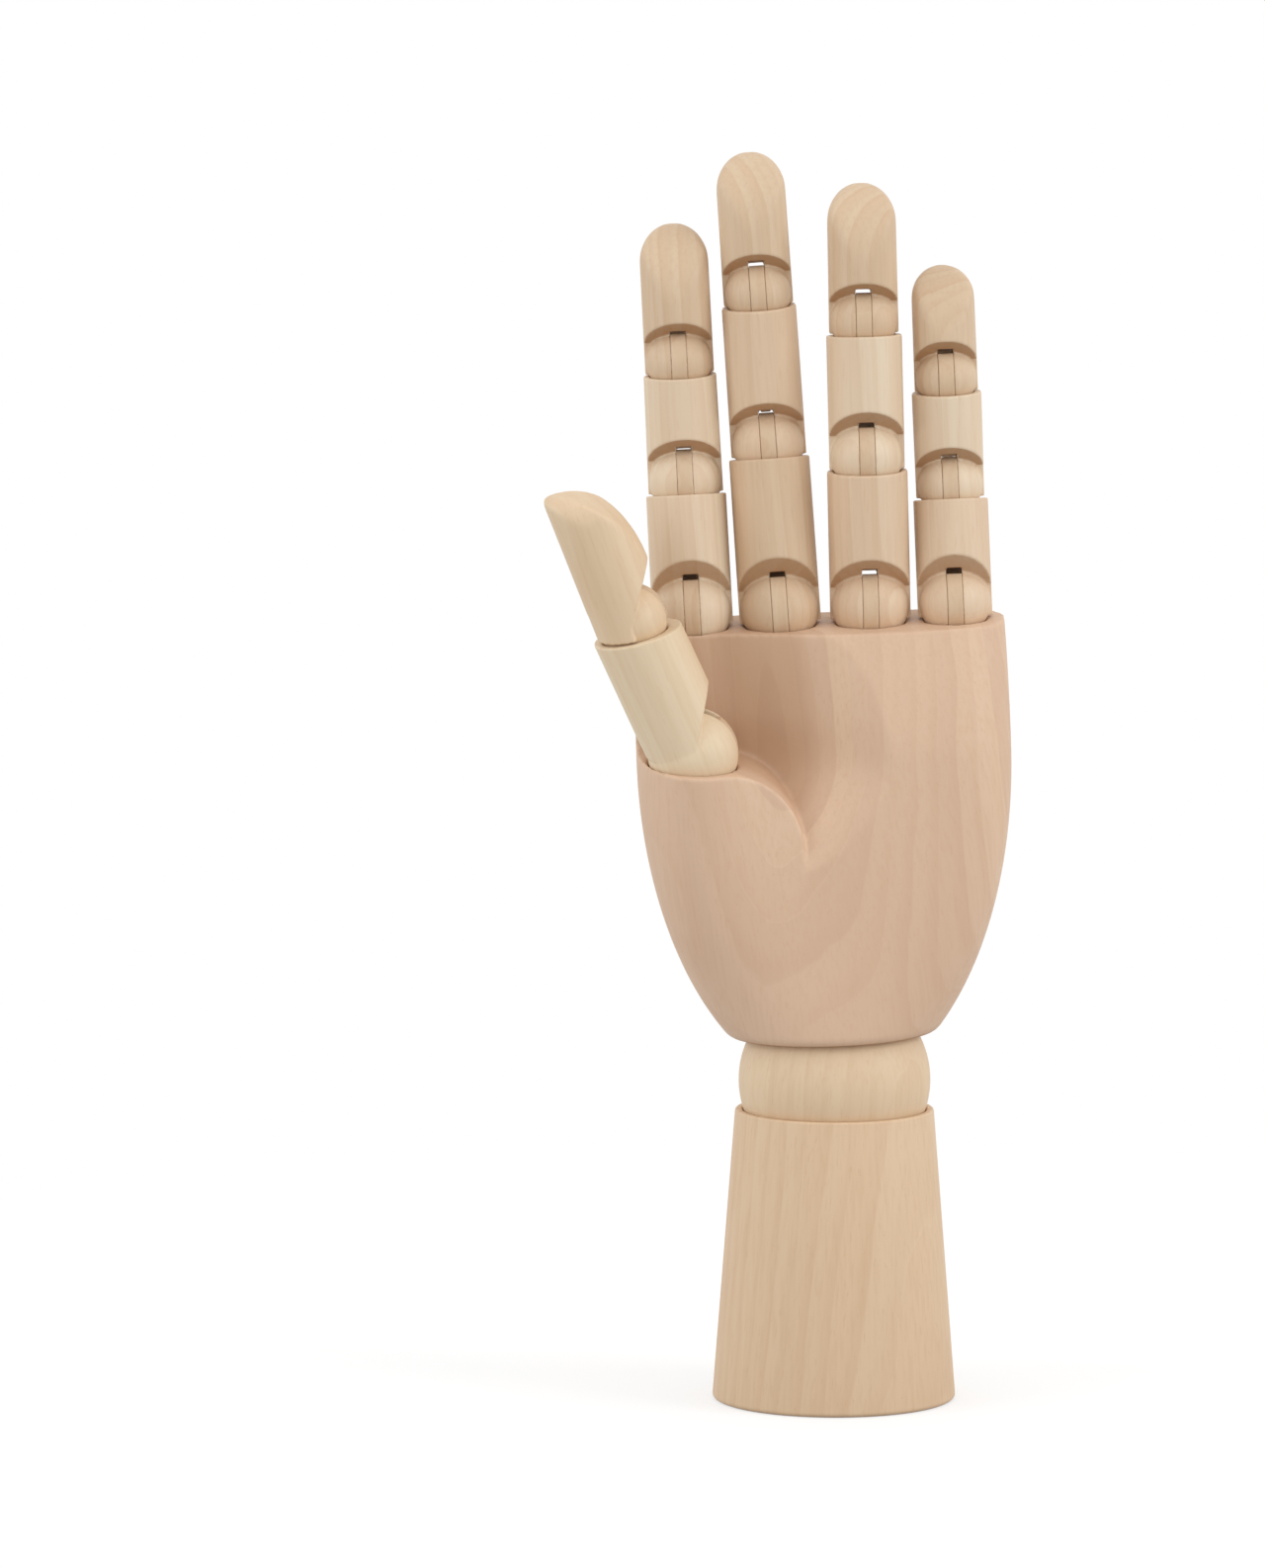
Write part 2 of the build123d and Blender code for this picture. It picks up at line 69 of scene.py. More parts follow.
# %% [markdown]
# ## The bench
#
# Wood is worked with a few tools, and so is a mesh. Every operator acts on whatever is selected, so each
# tool first takes up one piece and lays the others down. A saw is a bisect, which fills the cut. A carving
# tool is a shape that a boolean takes away, because a maker's cuts are plain shapes too.

# %% Tools: take up, place, saw, carve
def take_up(piece):
    """Leaves one piece selected and active."""
    bpy.ops.object.select_all(action="DESELECT")
    piece.select_set(True)
    bpy.context.view_layer.objects.active = piece


def fresh():
    """Lays everything down, then hands over the primitive that was just added."""
    piece = bpy.context.active_object
    take_up(piece)
    bpy.ops.object.transform_apply(location=True, rotation=True, scale=True)
    return piece


def put(piece, place):
    """Moves a piece to a place, in its mesh, so that its object stays at the origin."""
    take_up(piece)
    piece.matrix_world = place
    bpy.ops.object.transform_apply(location=True, rotation=True, scale=True)
    return piece


def saw(piece, point, normal):
    """Saws along a plane and keeps the side that the normal points to."""
    take_up(piece)
    bpy.ops.object.mode_set(mode="EDIT")
    bpy.ops.mesh.select_all(action="SELECT")
    bpy.ops.mesh.bisect(plane_co=point, plane_no=normal, use_fill=True, clear_inner=True)
    bpy.ops.object.mode_set(mode="OBJECT")


def carve(piece, tool, operation="DIFFERENCE"):
    """Takes a tool's shape out of a piece, adds it, or keeps only what both share. The tool is used up."""
    take_up(piece)
    cut = piece.modifiers.new("carve", "BOOLEAN")
    cut.operation, cut.solver, cut.object = operation, "EXACT", tool
    bpy.ops.object.modifier_apply(modifier=cut.name)
    bpy.data.objects.remove(tool)


# %% [markdown]
# Sanding rounds every edge that a cut has left, by about the width of the grit. A bevel would need clean
# edges to run along, and booleans leave short and crowded ones. So sanding is a fine remesh and a few
# smoothing strokes, and the faces are then thinned out where the piece is flat.

# %% Sand a piece, and set it in the hand
STROKE = 0.5  # how far one stroke moves a point towards the middle of its neighbours
wood = {}


def sand(piece, grit, strokes, keep):
    """Sands with a grit in mm, a number of strokes, and the share of faces that is kept in the end."""
    take_up(piece)
    skin = piece.modifiers.new("skin", "REMESH")
    skin.mode, skin.voxel_size = "VOXEL", grit * MM
    bpy.ops.object.modifier_apply(modifier=skin.name)
    level = piece.modifiers.new("level", "SMOOTH")
    level.factor, level.iterations = STROKE, strokes
    bpy.ops.object.modifier_apply(modifier=level.name)
    thin = piece.modifiers.new("thin", "DECIMATE")
    thin.ratio = keep
    bpy.ops.object.modifier_apply(modifier=thin.name)
    bpy.ops.object.shade_smooth()


def set_in_hand(piece, name, place, body):
    """Puts a finished piece in its place and lets it stand for the node of that name."""
    put(piece, place)
    piece.name = name + "_wood"
    piece.data.materials.clear()
    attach(piece, body)
    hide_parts(name)
    wood[name] = piece
    print(piece.name, "faces", len(piece.data.polygons))


# %% [markdown]
# ## Places
#
# A piece could be modelled where it stands, but cuts along the axes are easier to plan and to read. So each
# one is modelled upright at the origin, with its pin along X and its palm side towards -Y, and is then set
# in its place. The sizes are the ones that the solids were made with, so the places agree to a hair.

# %% Sizes in mm and degrees
# A bone runs from its pin to the next one or to its tip, and its bend is the one at rest
Bone = namedtuple("Bone", "length foot_r head_r bend")
WRIST_H, WRIST_R, PALM_LEAN = 78.1, 23.25, 2.0
PALM_TOP, PIN_RISE, BASE_RISE = 111.3, 3.3, 3.7
BONES = ("proximal", "middle", "distal")
# Each finger's place across the palm, its lean to the side, and its pieces from the palm to the tip
FINGERS = {
    "index": (-30.6, 1.0, [
        Bone(31.7, 9.8, 9.65, -5.0), Bone(29.1, 9.1, 8.75, 8.0), Bone(32.8, 8.4, 8.3, 1.0),
    ]),
    "middle": (-9.5, 2.0, [
        Bone(39.9, 9.85, 9.7, -4.0), Bone(36.9, 9.1, 8.95, 8.0), Bone(33.5, 8.45, 8.3, 0.0),
    ]),
    "ring": (12.4, -0.5, [
        Bone(36.3, 9.75, 9.7, 3.0), Bone(32.7, 9.1, 9.1, -4.0), Bone(32.8, 8.45, 8.3, 6.0),
    ]),
    "little": (32.8, 0.4, [
        Bone(28.4, 9.0, 9.0, -6.0), Bone(26.0, 8.2, 8.4, 9.0), Bone(27.2, 7.75, 7.6, -3.0),
    ]),
}
THUMB = [Bone(36.5, 10.7, 10.6, -26.2), Bone(35.4, 9.3, 9.3, 3.2)]
THUMB_SIDE, THUMB_FRONT, THUMB_HEIGHT = -31.6, -16.0, 82.7
THUMB_FORWARD, LEDGE_LEAN = 9.0, 2.0
print("fingers", len(FINGERS), "pieces in the thumb", len(THUMB))


# %% Places of the pieces
def move(x, y, z):
    return Matrix.Translation((x * MM, y * MM, z * MM))


def turn(degrees, axis):
    return Matrix.Rotation(math.radians(degrees), 4, axis)


PALM = move(0, 0, WRIST_H) @ turn(-PALM_LEAN, "Y")
LEDGE = move(THUMB_SIDE, THUMB_FRONT, THUMB_HEIGHT)
LEDGE = LEDGE @ turn(THUMB_FORWARD, "X") @ turn(LEDGE_LEAN + PALM_LEAN, "Y")
places = {"forearm": Matrix(), "wrist_ball": move(0, 0, WRIST_H), "palm": PALM}


def place_digit(place, digit, names, bones):
    """Notes where each piece of a digit and the tongue under it stand, from the base knuckle to the tip."""
    for name, bone in zip(names, bones):
        places[f"{digit}_{name}_tongue"] = place
        place = place @ turn(bone.bend, "X")
        places[f"{digit}_{name}"] = place
        place = place @ move(0, 0, bone.length)


for finger, (side, lean, bones) in FINGERS.items():
    place_digit(PALM @ move(side, 0, PALM_TOP + BASE_RISE) @ turn(-lean, "Y"), finger, BONES, bones)
place_digit(PALM @ LEDGE @ turn(90, "Z"), "thumb", ("proximal", "distal"), THUMB)

# %% [markdown]
# ## Stock
#
# Balls, bars, dowels and blocks are the stock and the cutters for everything that follows. They are
# primitives at their real size, and none of them is left as it is.

# %% Balls, bars, dowels and blocks
FACETS = 96


def ball(radius):
    bpy.ops.mesh.primitive_uv_sphere_add(segments=FACETS, ring_count=FACETS // 2, radius=radius * MM)
    return fresh()


def crossbar(radius, length, height=0.0, axis="Y"):
    """A round bar across the piece: along X for a slot or a pin, along Y for a fingertip's round outline."""
    bpy.ops.mesh.primitive_cylinder_add(vertices=FACETS, radius=radius * MM, depth=length * MM)
    return put(fresh(), move(0, 0, height) @ turn(90, axis))


def dowel(foot_r, head_r, low, high):
    bpy.ops.mesh.primitive_cone_add(
        vertices=FACETS, radius1=foot_r * MM, radius2=head_r * MM, depth=(high - low) * MM,
        location=(0, 0, (low + high) / 2 * MM),
    )
    return fresh()


def block(width, depth, low, high):
    bpy.ops.mesh.primitive_cube_add(size=1.0)
    shape = Matrix.Diagonal((width * MM, depth * MM, (high - low) * MM, 1))
    return put(fresh(), move(0, 0, (low + high) / 2) @ shape)


# %% [markdown]
# ## A piece of a digit
#
# A finger piece is a dowel with a little taper. A slanting cut on its palm side and a bevel behind free it
# to bend, a ball at its foot turns in the round seat of the piece below, and a slot through the ball takes
# the flat tongue. A fingertip is rounded from the front and sloped off towards its pad. Boolean cuts follow
# the maker's own cuts one by one. Their edges come out knife sharp, so a fine remesh sands them all in the
# end.

# %% Cutters for a seat, a notch and a fingertip
# A hinge is a knuckle: rise is the pin's height over the rim below, and the heel is the bevelled edge behind
Hinge = namedtuple("Hinge", "ball_r notch_slope notch_height rise heel_height heel_bevel")
TONGUE, TENON_DEPTH, TENON_LENGTH = 3.5, 7.0, 6.0
SEAT_GAP = 0.3
NOTCH_STOCK = 80.0  # larger than any piece of a digit


def seat(hinge):
    """The cutter for a round seat, and for the mortise under it that holds the tongue's tenon."""
    seat_r = hinge.ball_r + SEAT_GAP
    cutter = ball(seat_r)
    carve(cutter, block(TONGUE, TENON_DEPTH, -seat_r - TENON_LENGTH, 0.0), "UNION")
    return cutter


def notch(hinge):
    """The cutter for the notch: all in front of the pin, under a face that slopes up to the front."""
    slope = math.radians(hinge.notch_slope)
    cutter = put(block(NOTCH_STOCK, NOTCH_STOCK, -NOTCH_STOCK, NOTCH_STOCK), move(0, -NOTCH_STOCK / 2, 0))
    saw(cutter, (0, 0, hinge.notch_height * MM), (0, -math.sin(slope), -math.cos(slope)))
    return cutter


def shape_tip(piece, length, head_r, pad_length):
    """Rounds a fingertip from the front, then slopes its pad off along a quarter of an ellipse.

    Both tools are some radii wider and longer than the piece, so that they only touch its tip.
    """
    outline = crossbar(head_r, 8 * head_r, length - head_r, "X")
    carve(outline, dowel(2 * head_r, 2 * head_r, -3 * head_r, length - head_r), "UNION")
    carve(piece, outline, "INTERSECT")
    pad = crossbar(1.0, 8 * head_r)
    put(pad, move(0, head_r, length - pad_length) @ Matrix.Diagonal((1, 2 * head_r, pad_length, 1)))
    carve(pad, dowel(4 * head_r, 4 * head_r, -3 * head_r, length - pad_length), "UNION")
    carve(piece, pad, "INTERSECT")


# %% Model one piece of a digit
SLOT_GAP, SLOT_DEPTH = 0.12, 1.3
PIN_R, PIN_RECESS = 0.75, 1.0
FINGER_PAD, THUMB_PAD = 20.0, 23.0
TIP_SANDING, PIECE_SANDING = (0.6, 24, 1.0), (0.28, 3, 0.3)


def digit_piece(bone, lower, upper=None, rim_tilt=0.0, pad_length=FINGER_PAD, slot_depth=SLOT_DEPTH):
    """One piece from its measures, the hinge at its foot, and the hinge above it or its pad's length."""
    tilt, heel = math.radians(rim_tilt), math.radians(lower.heel_bevel)
    top = bone.length - upper.rise + bone.head_r * math.tan(tilt) if upper else bone.length
    piece = dowel(bone.foot_r, bone.head_r, -lower.ball_r, top)
    if rim_tilt:
        saw(piece, (0, 0, (bone.length - upper.rise) * MM), (0, math.sin(tilt), -math.cos(tilt)))
    if not upper:
        shape_tip(piece, bone.length, bone.head_r, pad_length)
        sand(piece, *TIP_SANDING)
    carve(piece, notch(lower))
    saw(piece, (0, 0, lower.heel_height * MM), (0, -math.sin(heel), math.cos(heel)))
    carve(piece, ball(lower.ball_r), "UNION")
    carve(piece, crossbar(lower.ball_r + slot_depth, TONGUE + 2 * SLOT_GAP))
    carve(piece, crossbar(PIN_R, 2 * (lower.ball_r - PIN_RECESS)))
    if upper:
        carve(piece, put(seat(upper), move(0, 0, bone.length)))
    sand(piece, *PIECE_SANDING)
    return piece


# %% [markdown]
# The four fingers have three such pieces each. Scaled copies of one piece would be quicker, but scaling
# would also change the slots, the pins and the gaps. So each piece is made from its own measures.

# %% Model the fingers
BALL_STEP = 0.5
# A notch's slope and its height as a share of the foot's radius, then the heel's gap and bevel
NOTCH_SLOPE, NOTCH_SHARE, HEEL_GAP, HEEL_BEVEL = 35.0, 0.56, 0.35, 9.0
BASE_SLOPE, BASE_SHARE, BASE_GAP, BASE_BEVEL = 40.0, 0.47, 0.6, 14.0
# Some slots were sawn deeper than the rest, and the daylight behind shows through above their tongues
DEEP_SLOTS = {
    "index_middle": 2.3, "middle_distal": 2.2, "middle_middle": 2.4, "ring_distal": 2.4,
    "ring_proximal": 2.6, "little_middle": 2.2,
}
hinges = {}


def finger_hinge(foot_r, at_palm):
    """A knuckle over the palm is cut wider than one between two pieces of a finger."""
    ball_r = foot_r - BALL_STEP
    if at_palm:
        return Hinge(ball_r, BASE_SLOPE, BASE_SHARE * foot_r, BASE_RISE, BASE_GAP - BASE_RISE, BASE_BEVEL)
    return Hinge(ball_r, NOTCH_SLOPE, NOTCH_SHARE * foot_r, PIN_RISE, HEEL_GAP - PIN_RISE, HEEL_BEVEL)


for finger, (side, lean, bones) in FINGERS.items():
    row = [finger_hinge(bone.foot_r, at_palm=(bone is bones[0])) for bone in bones]
    for name, bone, lower, upper in zip(BONES, bones, row, row[1:] + [None]):
        name = f"{finger}_{name}"
        hinges[name] = lower
        piece = digit_piece(bone, lower, upper, slot_depth=DEEP_SLOTS.get(name, SLOT_DEPTH))
        set_in_hand(piece, name, places[name], name)

# %% [markdown]
# ## The thumb
#
# The thumb has two pieces of the same kind, thicker than a finger's. Its base ball is larger, the rim of
# its first piece slants, and it bends across the palm, so its side faces the camera. Only measures differ,
# so the function that made the fingers makes it too.

# %% Model the thumb
THUMB_NOTCH, THUMB_RISE, THUMB_RIM_TILT = 54.0, 3.9, 10.0
hinges["thumb_proximal"] = Hinge(
    ball_r=11.0, notch_slope=THUMB_NOTCH, notch_height=0.0, rise=2.6, heel_height=0.0, heel_bevel=21.0
)
hinges["thumb_distal"] = Hinge(
    ball_r=THUMB[1].foot_r - BALL_STEP, notch_slope=THUMB_NOTCH, notch_height=0.0, rise=THUMB_RISE,
    heel_height=HEEL_GAP - THUMB_RISE, heel_bevel=10.0,
)
piece = digit_piece(THUMB[0], hinges["thumb_proximal"], hinges["thumb_distal"], rim_tilt=THUMB_RIM_TILT)
set_in_hand(piece, "thumb_proximal", places["thumb_proximal"], "thumb_proximal")
piece = digit_piece(THUMB[1], hinges["thumb_distal"], pad_length=THUMB_PAD)
set_in_hand(piece, "thumb_distal", places["thumb_distal"], "thumb_distal")

# %% [markdown]
# ## Tongues
#
# Between a knuckle's two cheeks a flat strip of wood shows, with a dark line on both sides of it. It is a
# round head about the pin on a tenon that is glued into the piece below, and its top is cut off aslant. Two
# lines could be painted on instead, but the strip has to look right in a bent knuckle too. Knuckles of one
# size share a pattern, which is modelled once and copied.

# %% Model the tongues
TONGUE_STEP, TONGUE_SLOPE, PIN_GAP = 0.1, math.radians(12.0), 0.06
HEAD_WIDTH = TONGUE + 1.6 * SLOT_GAP  # a little over its size, because sanding thins it
TONGUE_SANDING = (0.22, 2, 0.35)
patterns = {}


def tongue(hinge):
    """A tongue whose slanting top meets the notch's face where that face leaves the ball in front."""
    strip = crossbar(hinge.ball_r - TONGUE_STEP, HEAD_WIDTH)
    carve(strip, block(TONGUE, TENON_DEPTH, -hinge.ball_r - SEAT_GAP - TENON_LENGTH, 0.0), "UNION")
    slope, height = math.tan(math.radians(hinge.notch_slope)), hinge.notch_height
    square = 1 + slope**2
    reach = (math.sqrt(square * hinge.ball_r**2 - height**2) - slope * height) / square
    top = height + reach * (slope - math.tan(TONGUE_SLOPE))
    saw(strip, (0, 0, top * MM), (0, -math.sin(TONGUE_SLOPE), -math.cos(TONGUE_SLOPE)))
    carve(strip, crossbar(PIN_R + PIN_GAP, 2 * TONGUE))
    sand(strip, *TONGUE_SANDING)
    return strip


for name, hinge in hinges.items():
    if hinge not in patterns:
        patterns[hinge] = tongue(hinge)
    take_up(patterns[hinge])
    bpy.ops.object.duplicate()
    node = f"{name}_tongue"
    set_in_hand(bpy.context.active_object, node, places[node], joints[name]["parent"])
for pattern in patterns.values():
    bpy.data.objects.remove(pattern)
print("tongue patterns", len(patterns))

# %% [markdown]
# ## Turned pieces
#
# The forearm and the wrist ball come off a lathe, so the spin operator makes them: an outline is drawn
# point by point at one side of the axis, then turned right round it. Both are bored for the spring that
# pulls the palm, the ball and the forearm together, and the forearm has a round seat for the ball in its
# top. Their edges are clean rings, so a bevel eases them and no remesh is needed.

# %% The lathe
LATHE_STEPS, WELD = 160, 0.001 * MM


def lathe(outline):
    """Draws a closed outline of radius and height, one extruded point after another, and turns it about Z."""
    bpy.ops.mesh.primitive_plane_add(size=MM)
    piece = fresh()
    bpy.ops.object.mode_set(mode="EDIT")
    bpy.ops.mesh.select_mode(type="VERT")
    bpy.ops.mesh.select_all(action="SELECT")
    bpy.ops.mesh.merge(type="CENTER")
    bpy.ops.transform.translate(value=(outline[0][0] * MM, 0, outline[0][1] * MM))
    for (r, h), (next_r, next_h) in zip(outline, outline[1:] + outline[:1]):
        step = ((next_r - r) * MM, 0, (next_h - h) * MM)
        bpy.ops.mesh.extrude_vertices_move(TRANSFORM_OT_translate={"value": step})
    bpy.ops.mesh.select_all(action="SELECT")
    bpy.ops.mesh.remove_doubles(threshold=WELD)
    bpy.ops.mesh.spin(steps=LATHE_STEPS, angle=2 * math.pi, center=(0, 0, 0), axis=(0, 0, 1))
    bpy.ops.mesh.select_all(action="SELECT")
    bpy.ops.mesh.remove_doubles(threshold=WELD)
    bpy.ops.mesh.normals_make_consistent(inside=False)
    bpy.ops.object.mode_set(mode="OBJECT")
    return piece


def arc(centre_h, radius, start, end, steps):
    """Points of radius and height on an arc about a point of the axis, by angles from straight up."""
    angles = [math.radians(start + (end - start) * i / steps) for i in range(steps + 1)]
    return [(radius * math.sin(a), centre_h + radius * math.cos(a)) for a in angles]


# %% Ease an edge
EASE_SEGMENTS, NEARBY = 5, 0.02 * MM


def bevel_where(piece, test, width, segments):
    """Rounds the edges whose two ends pass a test."""
    take_up(piece)
    bpy.ops.object.mode_set(mode="EDIT")
    bpy.ops.mesh.select_mode(type="EDGE")
    bpy.ops.mesh.select_all(action="DESELECT")
    bpy.ops.object.mode_set(mode="OBJECT")
    for edge in piece.data.edges:
        edge.select = all(test(piece.data.vertices[i].co) for i in edge.vertices)
    bpy.ops.object.mode_set(mode="EDIT")
    bpy.ops.mesh.bevel(offset=width * MM, segments=segments, affect="EDGES")
    bpy.ops.object.mode_set(mode="OBJECT")


def ease(piece, radius, height, width):
    """Rounds one turned edge, picked by its radius and height."""
    ring = Vector((radius, height)) * MM
    bevel_where(
        piece, lambda end: (Vector((end.xy.length, end.z)) - ring).length < NEARBY, width, EASE_SEGMENTS
    )


# %% [markdown]
# The forearm tapers from its flat base to a narrow rim round the ball's seat. A bore runs up its middle,
# and a wider one below gives room for the pin that anchors the spring.

# %% Turn the forearm
FOREARM_H, BASE_R, RIM_R, BORE_R = 71.0, 29.6, 24.1, 7.0
COUNTERBORE_R, COUNTERBORE_H = 11.0, 8.0
SEAT_R, SEAT_STEPS = WRIST_R + SEAT_GAP, 24
CREASE = math.radians(30)  # edges that turn more than this are shaded sharp
rim_angle = 180 - math.degrees(math.acos((WRIST_H - FOREARM_H) / SEAT_R))
bore_angle = 180 - math.degrees(math.asin(BORE_R / SEAT_R))
forearm = lathe(
    [(BORE_R, COUNTERBORE_H), (COUNTERBORE_R, COUNTERBORE_H), (COUNTERBORE_R, 0)]
    + [(BASE_R, 0), (RIM_R, FOREARM_H)]
    + arc(WRIST_H, SEAT_R, rim_angle, bore_angle, SEAT_STEPS)
)
for radius, height, width in (
    (BASE_R, 0, 1.2),
    (COUNTERBORE_R, 0, 0.5),
    (RIM_R, FOREARM_H, 0.5),
    (SEAT_R * math.sin(math.radians(rim_angle)), FOREARM_H, 0.35),
):
    ease(forearm, radius, height, width)
bpy.ops.object.shade_smooth_by_angle(angle=CREASE)
set_in_hand(forearm, "forearm", places["forearm"], "forearm")

# %% [markdown]
# The ball is bored from top to bottom, and the bore flares at both ends, so that the spring has room when
# the wrist tilts. The lathe turns its outside and its bore in one go, so no boolean leaves a mark on the
# round.

# %% Turn the wrist ball
FLARE_R, FLARE_DEPTH, MOUTH_EASE, BALL_STEPS = 12.6, 7.0, 0.4, 64
mouth_angle = math.degrees(math.asin(FLARE_R / WRIST_R))
mouth_h = math.sqrt(WRIST_R**2 - FLARE_R**2)
wrist_ball = lathe(
    [(BORE_R, FLARE_DEPTH - mouth_h), (BORE_R, mouth_h - FLARE_DEPTH)]
    + arc(0, WRIST_R, mouth_angle, 180 - mouth_angle, BALL_STEPS)
)
for height in (mouth_h, -mouth_h):
    ease(wrist_ball, FLARE_R, height, MOUTH_EASE)
bpy.ops.object.shade_smooth_by_angle(angle=CREASE)
set_in_hand(wrist_ball, "wrist_ball", places["wrist_ball"], "wrist_ball")

# %% [markdown]
# ## The palm
#
# The palm is one carved block. It grows from a round foot over the wrist ball to a flat oblong under the
# fingers, and swells in front of the thumb's root. Sculpting could give these soft forms, but not their
# exact measures. So a cylinder is cut into thin slices, and the rim of each slice is pushed out to the
# oblong of its height, as a carver works to templates.

# %% The palm's outline at each height
PALM_FOOT, PALM_WIDE = 11.1, 80.0
FOOT_HALF, WIDE_HALF, TOP_HALF, SIDE_ARC = 24.8, 45.3, 44.6, 0.837
# At the foot, at the widest height and at the top: the depth in front and behind, and how square the rim is
FRONT, BACK, SQUARE = (24.0, 21.5, 13.4), (24.0, 17.0, 13.0), (2.0, 2.9, 3.4)
DEPTH_BEND, SIDE_BEND = 1.5, 2
THENAR_SIDE, THENAR_SWELL, THENAR_SPREAD = -36.0, 13.0, 15.0
THENAR_RISE, THENAR_ROUND = 0.7, 0.35


def along_palm(height, foot, wide, top):
    """A value that runs straight from the palm's foot to its widest height, then bends away to its top."""
    if height < PALM_WIDE:
        return foot + (wide - foot) * (height - PALM_FOOT) / (PALM_WIDE - PALM_FOOT)
    return wide + (top - wide) * ((height - PALM_WIDE) / (PALM_TOP - PALM_WIDE)) ** DEPTH_BEND


def palm_half(height):
    """The sides: an arc of an ellipse from the foot up to the widest height, then a slow bend to the top."""
    if height > PALM_WIDE:
        bend = ((height - PALM_WIDE) / (PALM_TOP - PALM_WIDE)) ** SIDE_BEND
        return WIDE_HALF + (TOP_HALF - WIDE_HALF) * bend
    share = (PALM_WIDE - height) / (PALM_WIDE - PALM_FOOT)
    fall = (1 - math.sqrt(1 - (SIDE_ARC * share) ** 2)) / (1 - math.sqrt(1 - SIDE_ARC**2))
    return WIDE_HALF + (FOOT_HALF - WIDE_HALF) * fall


def palm_rim(angle, height):
    """A point on the palm's rounded oblong at one height."""
    power = 2 / along_palm(height, *SQUARE)
    x = math.copysign(palm_half(height) * abs(math.cos(angle)) ** power, math.cos(angle))
    rise = abs(math.sin(angle)) ** power
    if math.sin(angle) > 0:
        return x, along_palm(height, *BACK) * rise, height
    swell = THENAR_SWELL * (max(height - PALM_FOOT, 0) / (THUMB_HEIGHT - PALM_FOOT)) ** THENAR_RISE
    bump = swell * math.exp(-(((x - THENAR_SIDE) / THENAR_SPREAD) ** 2)) * rise**THENAR_ROUND
    return x, -along_palm(height, *FRONT) * rise - bump, height


# %% Push a sliced cylinder into that outline
SLICES, RIM_POINTS = 50, 192
STOCK_R = 30.0  # any radius does, because every rim is pushed into place
TOP_SLOPE, FOOT_ROUND, HAIR = math.radians(6.0), 2.0, 0.01
stock_top = PALM_TOP + BASE_RISE
bpy.ops.mesh.primitive_cylinder_add(
    vertices=RIM_POINTS, radius=STOCK_R * MM, depth=(stock_top - PALM_FOOT) * MM,
    location=(0, 0, (stock_top + PALM_FOOT) / 2 * MM),
)
palm = fresh()
bpy.ops.object.mode_set(mode="EDIT")
for i in range(1, SLICES):
    height = PALM_FOOT + (stock_top - PALM_FOOT) * i / SLICES
    bpy.ops.mesh.select_all(action="SELECT")
    bpy.ops.mesh.bisect(plane_co=(0, 0, height * MM), plane_no=(0, 0, 1))
bpy.ops.object.mode_set(mode="OBJECT")
for vertex in palm.data.vertices:
    x, y, z = palm_rim(math.atan2(vertex.co.y, vertex.co.x), vertex.co.z / MM)
    vertex.co = (x * MM, y * MM, z * MM)
saw(palm, (0, 0, PALM_TOP * MM), (0, math.sin(TOP_SLOPE), -math.cos(TOP_SLOPE)))
bevel_where(palm, lambda end: end.z < (PALM_FOOT + HAIR) * MM, FOOT_ROUND, segments=4)
print("palm block faces", len(palm.data.polygons))

# %% [markdown]
# The thumb swings in a hollow. Its floor lies just behind the thumb and rises in a soft slope to the palm's
# front, and it runs out below beside the rounded end of the thumb's ledge. A grid is bent to that floor and
# pulled out towards the viewer, and the ledge is taken out of it, so that the cutter leaves the ledge
# standing.

# %% The hollow's floor
# Each level's height, its share of the full depth, where its floor ends and where the palm's front begins
HOLLOW = [
    (49.1, 0.0, -30.0, 12.0), (63.1, 0.4, -28.0, 18.0), (77.1, 1.0, -24.0, 24.0),
    (90.8, 1.0, -24.0, 22.0), (104.5, 1.0, -27.0, 17.0), (118.2, 1.0, -33.0, 6.0),
]
THUMB_GAP, HOLLOW_EASE = 0.9, 1.0


def hollow_level(height):
    """Depth share, end of the floor and start of the front at any height: a smooth run through the levels."""
    i = max(1, min(len(HOLLOW) - 1, sum(height >= level[0] for level in HOLLOW)))
    t = (height - HOLLOW[i - 1][0]) / (HOLLOW[i][0] - HOLLOW[i - 1][0])
    a, b, c, d = (HOLLOW[max(0, min(len(HOLLOW) - 1, i + k))] for k in (-2, -1, 0, 1))
    return [
        b[k] + 0.5 * t * (c[k] - a[k] + t * (2 * a[k] - 5 * b[k] + 4 * c[k] - d[k]
                                            + t * (3 * (b[k] - c[k]) + d[k] - a[k])))
        for k in (1, 2, 3)
    ]


def hollow_floor(x, height):
    """How far forward the floor lies at one point of the palm."""
    share, start, end = hollow_level(height)
    outside = -along_palm(height, *FRONT) - HOLLOW_EASE
    floor = THUMB_FRONT + THUMB[0].foot_r + THUMB_GAP
    floor -= (height - THUMB_HEIGHT) * math.tan(math.radians(THUMB_FORWARD))
    floor = outside + share * (floor - outside)
    t = max(0.0, min(1.0, (x - start) / (end - start)))
    return floor + (outside - floor) * t * t * (3 - 2 * t)


